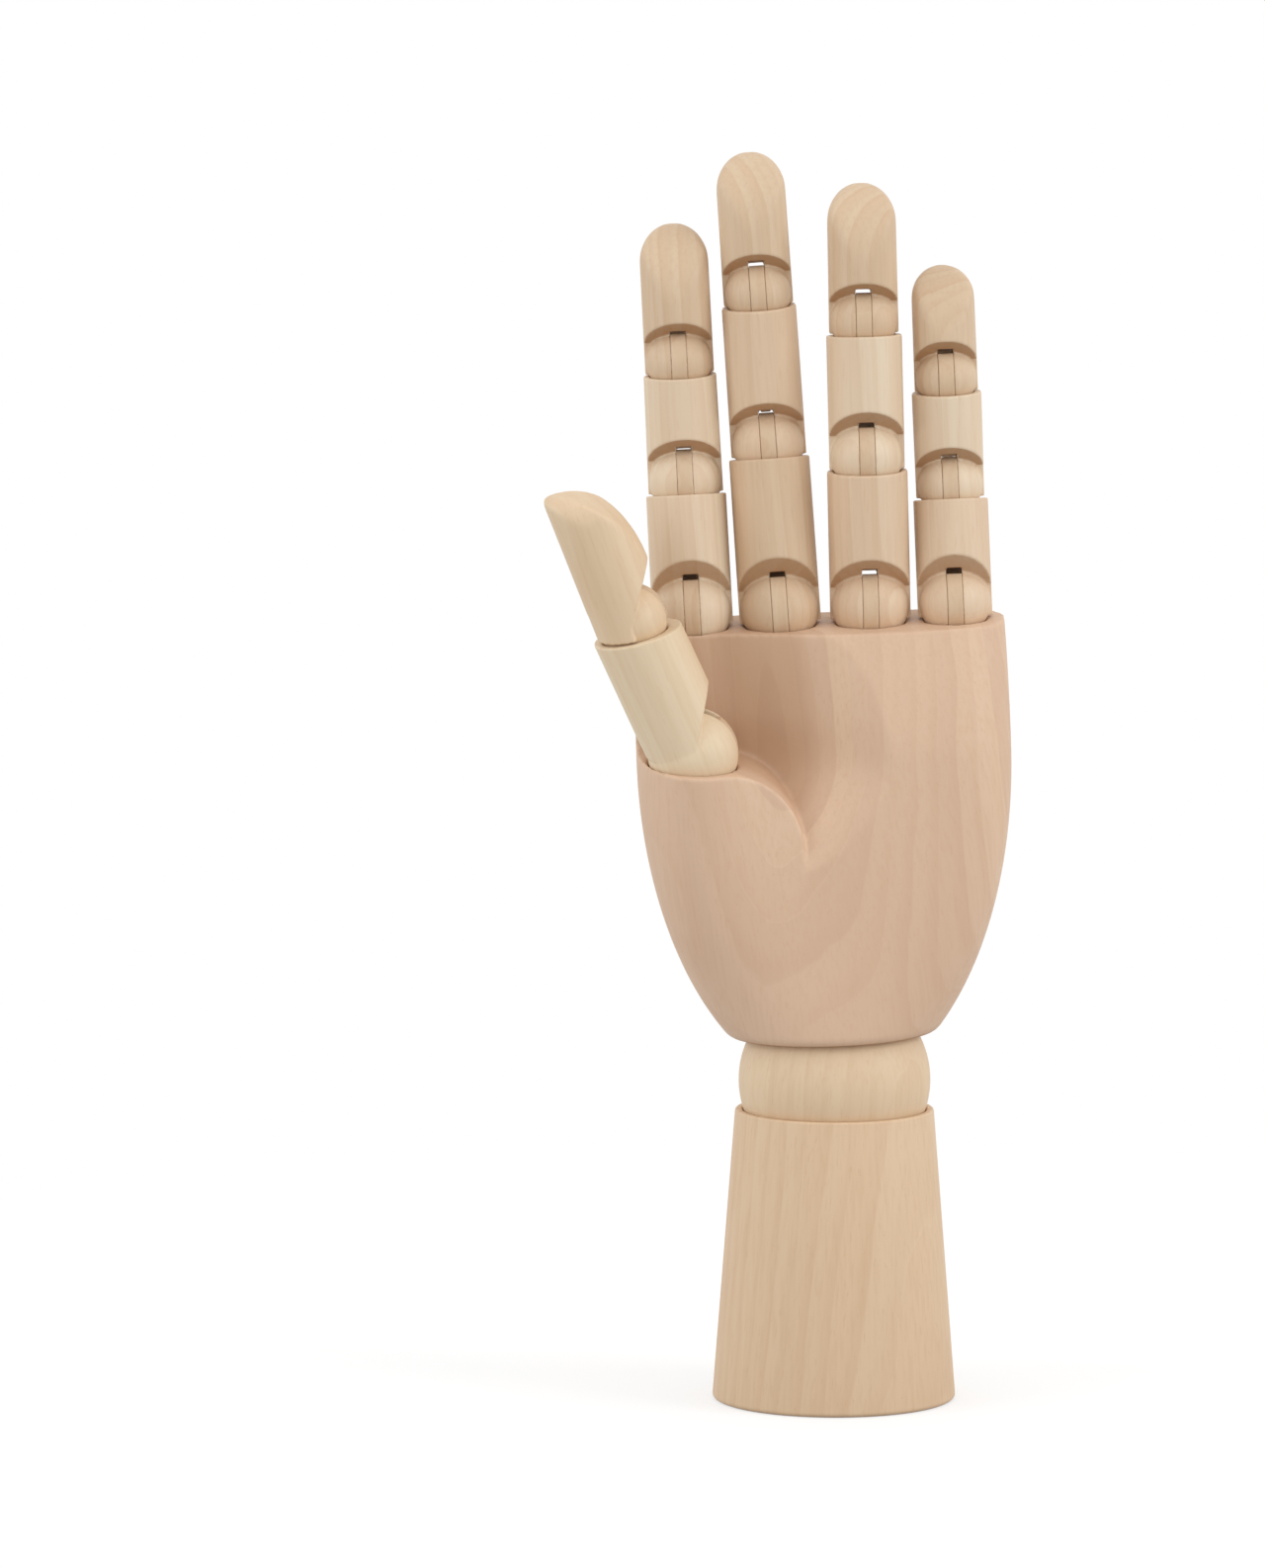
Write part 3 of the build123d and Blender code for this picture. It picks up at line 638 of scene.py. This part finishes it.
# %% Bend a grid to the floor and pull it out
ROOM_LEFT, ROOM_WIDTH, ROOM_DEPTH = -60, 110, 90
ROOM_LOW, ROOM_HIGH = HOLLOW[0][0], HOLLOW[-1][0]
bpy.ops.mesh.primitive_grid_add(x_subdivisions=150, y_subdivisions=110, size=1.0)
room = fresh()
for vertex in room.data.vertices:
    x = ROOM_LEFT + ROOM_WIDTH * (vertex.co.x + 0.5)
    z = ROOM_LOW + (ROOM_HIGH - ROOM_LOW) * (vertex.co.y + 0.5)
    vertex.co = (x * MM, hollow_floor(x, z) * MM, z * MM)
bpy.ops.object.mode_set(mode="EDIT")
bpy.ops.mesh.select_all(action="SELECT")
bpy.ops.mesh.extrude_region_move(TRANSFORM_OT_translate={"value": (0, -ROOM_DEPTH * MM, 0)})
bpy.ops.mesh.select_all(action="SELECT")
bpy.ops.mesh.normals_make_consistent(inside=False)
bpy.ops.object.mode_set(mode="OBJECT")
print("hollow's cutter faces", len(room.data.polygons))

# %% Carve the hollow and the seats
LEDGE_LENGTH, LEDGE_CORNER, LEDGE_STOCK = 27.6, 20.0, 160.0
PALM_SANDING = (0.5, 4, 0.35)
ledge = block(LEDGE_STOCK, 2 * LEDGE_STOCK, -LEDGE_STOCK, 0.0)
bevel_where(ledge, lambda end: end.x > 0 and end.z > -MM, LEDGE_CORNER, segments=24)
ledge_place = LEDGE @ move(LEDGE_LENGTH - LEDGE_STOCK / 2, 0, -hinges["thumb_proximal"].rise)
carve(room, put(ledge, ledge_place))
carve(palm, room)
carve(palm, ball(SEAT_R))
for digit in list(FINGERS) + ["thumb"]:
    cutter = seat(hinges[f"{digit}_proximal"])
    carve(palm, put(cutter, PALM.inverted() @ places[f"{digit}_proximal_tongue"]))
sand(palm, *PALM_SANDING)
set_in_hand(palm, "palm", places["palm"], "palm")

# %% [markdown]
# ## Wood
#
# The hand is made of a pale, close grained hardwood, sanded and left without varnish. Such wood shows
# growth rings, which a flat cut opens into flames and a quarter cut leaves as stripes, fibres along the
# piece, and short dark pores. Some years and patches are duller than others. The palm's pith runs along the
# floor of the thumb's hollow, and the wood close to it is painted browner, as painted shade in the hollow.
# Faces that look back down the log, such as a notch's face, are painted brown. End grain is darker, but
# end grain that faces up stays pale, so this brown is partly painted shade.
#
# All of this belongs to the log and not to the piece, and a pattern laid on each face would break at every
# edge. So each piece gets a log of its own: a Mapping node turns Object coordinates into millimetres about
# the log's pith. The pattern then runs through the piece as real grain does, and comes out right on cut
# faces too.

# %% Nodes and colours
def linear(colour):
    """An sRGB hex colour as the linear values that shaders work with."""
    parts = [int(colour[i:i + 2], 16) / 255 for i in (1, 3, 5)]
    return [p / 12.92 if p <= 0.04045 else ((p + 0.055) / 1.055) ** 2.4 for p in parts] + [1.0]


def add(tree, kind, inputs, **settings):
    """Adds one node with its settings. Each input is a value, or a socket that it is linked from."""
    node = tree.nodes.new(kind)
    for name, value in settings.items():
        setattr(node, name, value)
    for name, value in inputs.items():
        if isinstance(value, bpy.types.NodeSocket):
            tree.links.new(value, node.inputs[name])
        else:
            node.inputs[name].default_value = value
    return node.outputs


def new_material(name):
    """A material, its tree and its shader."""
    material = bpy.data.materials.new(name)
    material.use_nodes = True
    return material, material.node_tree, material.node_tree.nodes["Principled BSDF"]


# %% The grain of a log
# Each pattern's width across the grain and run along it, in mm, and its detail. A fibre is far finer than a
# pixel and a pore about 0.1 mm wide, so both are drawn as coarse as they need to show, and fainter.
PATTERNS = {
    "waver": (18.0, 70.0, 2.0), "patch": (22.0, 60.0, 2.0),
    "fibre": (0.9, 24.0, 3.0), "pore": (0.5, 5.0, 1.0),
}
WAVER_SHARE = 1.2  # how far a growth ring strays, in spacings of the rings


def grain(tree, log, ring):
    """What a log gives at each point: its patterns, and its years, counted outwards from the pith."""
    to_log, along = log.inverted(), log.to_3x3() @ Vector((0, 0, 1))
    coordinates = add(tree, "ShaderNodeTexCoord", {})
    point = add(tree, "ShaderNodeMapping", {
        "Vector": coordinates["Object"], "Location": to_log.translation / MM,
        "Rotation": to_log.to_euler("XYZ"), "Scale": (1 / MM, 1 / MM, 1 / MM),
    })[0]
    noise = {}
    for pattern, (width, run, detail) in PATTERNS.items():
        stretched = add(tree, "ShaderNodeVectorMath", {0: point, 1: (1 / width, 1 / width, 1 / run)},
                        operation="MULTIPLY")[0]
        noise[pattern] = add(tree, "ShaderNodeTexNoise", {
            "Vector": stretched, "Scale": 1.0, "Detail": detail,
        })
    stray = (WAVER_SHARE * ring, WAVER_SHARE * ring, 0)
    bent = add(tree, "ShaderNodeVectorMath", {0: noise["waver"]["Color"], 1: stray, 2: point},
               operation="MULTIPLY_ADD")[0]
    section = add(tree, "ShaderNodeVectorMath", {0: bent, 1: (1, 1, 0)}, operation="MULTIPLY")[0]
    radius = add(tree, "ShaderNodeVectorMath", {0: section}, operation="LENGTH")["Value"]
    years = add(tree, "ShaderNodeMath", {0: radius, 1: ring}, operation="DIVIDE")[0]
    season = add(tree, "ShaderNodeMath", {0: years}, operation="FRACT")[0]
    year = add(tree, "ShaderNodeMath", {0: years}, operation="FLOOR")[0]
    luck = add(tree, "ShaderNodeTexWhiteNoise", {"W": year}, noise_dimensions="1D")["Value"]
    facing = add(tree, "ShaderNodeVectorMath", {0: coordinates["Normal"], 1: along},
                 operation="DOT_PRODUCT")["Value"]
    return {
        "patch": noise["patch"]["Fac"], "fibre": noise["fibre"]["Fac"], "pore": noise["pore"]["Fac"],
        "radius": radius, "season": season, "luck": luck, "facing": facing,
    }


# %% Sanded hardwood
# Which value of the grain, between which two limits, gives which two amounts
AMOUNTS = {
    "late wood": ("season", 0.35, 0.92, 0.0, 1.0),
    "winter": ("season", 0.92, 1.0, 1.0, 0.0),
    "strength of a ring": ("patch", 0.3, 0.7, 0.05, 0.42),
    "dull year": ("luck", 0.0, 1.0, 0.0, 0.7),
    "dull patch": ("patch", 0.42, 0.72, 0.0, 0.4),
    # The palm's pith runs along the floor of the thumb's hollow, so this browner wood near it is painted
    # shade in the hollow
    "painted shade in the hollow": ("radius", 7.7, 14.0, 0.4, 0.0),  # in mm from the pith, which only the palm holds
    "fibre": ("fibre", 0.42, 0.72, 0.0, 0.2),
    "pore": ("pore", 0.62, 0.74, 0.0, 1.0),
    # Faces that look down the log are darkened: partly as darker end grain, partly as painted shade, since
    # end grain facing up stays pale
    "end grain and painted shade facing down": ("facing", -0.85, -0.6, 0.72, 0.0),  # faces that look back down the log, as notches do
    "roughness": ("fibre", 0.3, 0.7, 0.5, 0.64),
}
# The first colour is painted shade in the palm's hollow; the second darkens faces that look down the log, as
# end grain and as painted shade
PAINTED_HOLLOW_SHADE, END_GRAIN_AND_SHADE, PORE_STAIN = "#b98d69", "#a56f3a", 0.3


def sanded_hardwood(name, place, pith, ring, tone):
    """Sanded, unvarnished hardwood: matte, with soft growth lines, fine fibres and a scatter of short pores.

    Pith sets the log's middle and its lean against the piece, and ring is the spacing of its growth rings.
    Tone is the colour of the early wood, of the denser late wood that ends a year, and of duller wood.
    """
    early, late, dull = [linear(colour) for colour in tone]
    material, tree, shader = new_material(name)
    value = grain(tree, place @ pith, ring)
    amount = {
        use: add(tree, "ShaderNodeMapRange", {
            "Value": value[source], "From Min": low, "From Max": high, "To Min": at_low, "To Max": at_high,
        }, interpolation_type="SMOOTHSTEP")[0]
        for use, (source, low, high, at_low, at_high) in AMOUNTS.items()
    }
    growth = amount["late wood"]
    for use in ("winter", "strength of a ring"):
        growth = add(tree, "ShaderNodeMath", {0: growth, 1: amount[use]}, operation="MULTIPLY")[0]
    pitted = add(tree, "ShaderNodeMath", {0: amount["pore"], 1: PORE_STAIN}, operation="MULTIPLY")[0]
    # Two of these stains are painted shade: the one near the palm's pith, in the hollow, and, together with
    # end grain, the one on faces that look down the log
    colour = early
    for stain, share in (
        (dull, amount["dull year"]), (late, growth), (dull, amount["dull patch"]),
        (linear(PAINTED_HOLLOW_SHADE), amount["painted shade in the hollow"]), (late, amount["fibre"]), (late, pitted),
        (linear(END_GRAIN_AND_SHADE), amount["end grain and painted shade facing down"]),
    ):
        colour = add(tree, "ShaderNodeMix", {0: share, 6: colour, 7: stain}, data_type="RGBA")[2]
    relief = add(tree, "ShaderNodeMath", {0: value["fibre"], 1: amount["pore"]}, operation="SUBTRACT")[0]
    bump = add(tree, "ShaderNodeBump", {"Height": relief, "Strength": 0.25, "Distance": 0.05 * MM})[0]
    shader.inputs["IOR"].default_value = 1.5
    tree.links.new(colour, shader.inputs["Base Color"])
    tree.links.new(amount["roughness"], shader.inputs["Roughness"])
    tree.links.new(bump, shader.inputs["Normal"])
    return material


# %% Give each piece its log
def offcut(side, depth, lean_side, lean_forward):
    """The pith's place beside a piece, in mm, and its lean to the side and to the front, in degrees."""
    return move(side, depth, 0) @ turn(lean_side, "Y") @ turn(lean_forward, "X")


# Colours of early, late and duller wood
PALE = ("#e2cfb4", "#d2b493", "#dcc3a7")
PLAIN = ("#dec6aa", "#cdac8a", "#d8bb9d")
WARM = ("#d6bea1", "#c7a583", "#d1b494")
PALE_PIECES = ["index_proximal", "index_middle", "ring_middle", "little_middle"]
PLAIN_PIECES = ["middle_middle", "ring_proximal", "little_proximal"]
# The larger pieces' logs are chosen one by one: the pith, the spacing of the rings and the colours
LOGS = {
    "forearm": (offcut(-52, 30, 1.5, 1.0), 4.5, ("#dcc09f", "#cba683", "#d9bb99")),
    "wrist_ball": (offcut(40, -26, 3.0, 4.0), 5.0, ("#dfc7a7", "#d0b08b", "#dcc09f")),
    "palm": (offcut(-2.0, 17.7, -6.0, 15.5), 4.2, ("#ddbea1", "#cda788", "#d2b196")),
    "thumb_proximal": (offcut(-30, -34, 3.0, 2.0), 4.5, ("#e4d1b3", "#d6b994", "#e0c9a9")),
    "thumb_distal": (offcut(24, -38, -2.0, 3.0), 5.0, ("#e1caaa", "#d2b38e", "#ddc1a0")),
}
# The small pieces' piths lie far off, each further round than the last, so that no two are cut alike
PITH_AWAY, PITH_ROUND, PITH_LEAN = 42, 2.4, 1.2
RING, RING_STEP = 2.2, 0.6
for i, name in enumerate(sorted(set(wood) - set(LOGS))):
    around = PITH_ROUND * i
    pith = offcut(
        PITH_AWAY * math.cos(around), PITH_AWAY * math.sin(around),
        PITH_LEAN * math.sin(3 * i), PITH_LEAN * math.cos(5 * i),
    )
    tone = PALE if name in PALE_PIECES else PLAIN if name in PLAIN_PIECES else WARM
    LOGS[name] = (pith, RING + RING_STEP * (i % 3), tone)
for name, piece in wood.items():
    piece.data.materials.append(sanded_hardwood(f"sanded_hardwood_{name}", places[name], *LOGS[name]))
print("wooden pieces", len(wood))

# %% [markdown]
# ## Steel
#
# The pins, the spring, its eye and the anchor pin are plain drawn wire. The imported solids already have
# their shape, so they only get a finish: bright metal, with the fine unevenness that the drawing plate
# leaves.

# %% Drawn steel wire
# Bright, with marks that blur what it reflects. Real marks are too fine to show, so they are 0.4 mm wide here
BRIGHT, WORN, MARK = "#c4c4c5", "#8f8f90", 0.4
steel, tree, shader = new_material("drawn_steel_wire")
point = add(tree, "ShaderNodeMapping", {
    "Vector": add(tree, "ShaderNodeTexCoord", {})["Object"], "Scale": (1 / (MARK * MM),) * 3,
})[0]
marks = add(tree, "ShaderNodeTexNoise", {"Vector": point, "Scale": 1.0, "Detail": 3.0})["Fac"]
tone = add(tree, "ShaderNodeMix", {0: marks, 6: linear(BRIGHT), 7: linear(WORN)}, data_type="RGBA")[2]
blur = add(tree, "ShaderNodeMapRange", {"Value": marks, "To Min": 0.26, "To Max": 0.44})[0]
bump = add(tree, "ShaderNodeBump", {"Height": marks, "Strength": 0.2, "Distance": 0.02 * MM})[0]
shader.inputs["Metallic"].default_value = 1.0
tree.links.new(tone, shader.inputs["Base Color"])
tree.links.new(blur, shader.inputs["Roughness"])
tree.links.new(bump, shader.inputs["Normal"])
wires = [name for name in nodes if name not in wood]
for name in wires:
    nodes[name].data.materials.clear()
    nodes[name].data.materials.append(steel)
print("steel pieces", len(wires))

# %% [markdown]
# ## The studio
#
# The photograph shows the hand on plain white, in a light that comes from all round and leaves only faint
# shadows. So the world gives most of the light, and two large soft lamps at the sides, the right one a
# little stronger, bring out the round forms. The floor is grey, so that it throws little light up into the
# notches, and it takes the hand's soft shadow. For the camera, and in what metal mirrors, it is lifted to
# white and fades into the white of the world.

# %% Floor
FLOOR_SIZE, FLOOR_DROP = 6.0, 0.05  # in metres, and in mm below the forearm's base
FLOOR_GREY, LIFT = "#b4b4b4", 0.55
FADE_NEAR, FADE_FAR = 0.1, 0.4
WHITE = (1, 1, 1, 1)


def in_view(tree):
    """1 for what the camera sees, also in a mirror or through glass, and 0 for light on the hand."""
    path = add(tree, "ShaderNodeLightPath", {})
    seen = path["Is Camera Ray"]
    for ray in ("Is Glossy Ray", "Is Transmission Ray"):
        seen = add(tree, "ShaderNodeMath", {0: seen, 1: path[ray]}, operation="MAXIMUM")[0]
    return seen


bpy.ops.mesh.primitive_plane_add(size=FLOOR_SIZE, location=(0, 0, -FLOOR_DROP * MM))
floor = fresh()
floor.name = "floor"
# Matt paper: it shows no reflection, only light and shadow
paper, tree, _ = new_material("white_paper_sweep")
tree.nodes.clear()
seen = in_view(tree)
matt = add(tree, "ShaderNodeBsdfDiffuse", {"Color": linear(FLOOR_GREY)})[0]
lift = add(tree, "ShaderNodeMath", {0: seen, 1: LIFT}, operation="MULTIPLY")[0]
glow = add(tree, "ShaderNodeEmission", {"Color": WHITE, "Strength": lift})[0]
near = add(tree, "ShaderNodeAddShader", {0: matt, 1: glow})[0]
away = add(tree, "ShaderNodeEmission", {"Color": WHITE, "Strength": 1.0})[0]
centre = add(tree, "ShaderNodeTexCoord", {})["Object"]
reach = add(tree, "ShaderNodeVectorMath", {0: centre}, operation="LENGTH")["Value"]
fade = add(tree, "ShaderNodeMapRange", {"Value": reach, "From Min": FADE_NEAR, "From Max": FADE_FAR},
           interpolation_type="SMOOTHSTEP")[0]
fade = add(tree, "ShaderNodeMath", {0: fade, 1: seen}, operation="MULTIPLY")[0]
both = add(tree, "ShaderNodeMixShader", {0: fade, 1: near, 2: away})[0]
add(tree, "ShaderNodeOutputMaterial", {"Surface": both})
floor.data.materials.append(paper)
print("floor", FLOOR_SIZE, "m wide")

# %% World and lamps
AMBIENT = 0.9
LAMP_AIM = Vector((0, 0, 0.15))
# Each lamp's place and size in metres, and its power in watts
LAMPS = {"key": ((2.0, -0.9, 1.1), 1.2, 18.0), "fill": ((-2.0, -1.0, 1.0), 1.4, 13.0)}
world = bpy.data.worlds.new("studio")
bpy.context.scene.world = world
world.use_nodes = True
tree = world.node_tree
level = add(tree, "ShaderNodeMapRange", {"Value": in_view(tree), "To Min": AMBIENT, "To Max": 1.0})[0]
tree.nodes["Background"].inputs["Color"].default_value = WHITE
tree.links.new(level, tree.nodes["Background"].inputs["Strength"])
for name, (place, size, power) in LAMPS.items():
    bpy.ops.object.light_add(type="AREA", location=place)
    lamp = bpy.context.active_object
    lamp.name = name
    lamp.data.size, lamp.data.energy = size, power
    lamp.rotation_euler = (LAMP_AIM - Vector(place)).to_track_quat("-Z", "Y").to_euler()
print("ambient", AMBIENT, "lamps", len(LAMPS))

# %% [markdown]
# ## The camera
#
# The rims of the pieces look like flat curves, as from a little above, and nearer parts are hardly larger
# than farther ones. So the camera stands well away with a long lens, which is worked out from the height in
# mm that the picture has to show.

# %% Camera
CAMERA_AWAY, CAMERA_RISE, VIEW_HEIGHT = 2600.0, 7.0, 379.0
aim = Vector((-49.0, 0.0, 150.2)) * MM
rise = math.radians(CAMERA_RISE)
bpy.ops.object.camera_add(
    location=aim + Vector((0, -math.cos(rise), math.sin(rise))) * CAMERA_AWAY * MM,
    rotation=(math.pi / 2 - rise, 0, 0),
)
camera = bpy.context.active_object
camera.data.lens = camera.data.sensor_width * CAMERA_AWAY / VIEW_HEIGHT
bpy.context.scene.camera = camera
bpy.context.scene.view_settings.view_transform = "Standard"
print("lens", round(camera.data.lens, 1), "mm")
